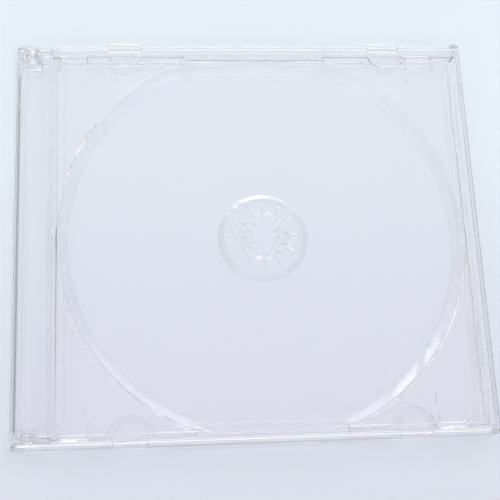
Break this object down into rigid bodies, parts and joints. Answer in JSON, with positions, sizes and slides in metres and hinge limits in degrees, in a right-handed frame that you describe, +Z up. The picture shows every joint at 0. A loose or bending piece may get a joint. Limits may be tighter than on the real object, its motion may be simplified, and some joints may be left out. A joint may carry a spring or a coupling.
{
  "type": "cd jewel case",
  "caption": "Clear jewel case for one disc: a hinged lid with half-moon booklet tabs, a base and a clear tray with a toothed hub rosette.",
  "frame": {"origin": "middle of the case's underside, on the table", "axes": "+X from the spine to the opening edge, +Y along the spine, +Z up through the lid"},
  "size_m": [0.142, 0.125, 0.01],
  "materials": {
    "lid_plastic": "clear polished polystyrene",
    "base_plastic": "clear polished polystyrene",
    "tray_plastic": "clear polished polystyrene"
  },
  "bodies": {
    "base": {"back_base": "base_plastic", "disc_tray": "tray_plastic"},
    "lid": {"front_lid": "lid_plastic"}
  },
  "joints": [
    {"name": "lid_hinge", "type": "hinge", "parent": "base", "child": "lid", "pos_m": [-0.066, 0, 0.00515], "axis": [0, -1, 0], "range_deg": [0, 180]}
  ]
}
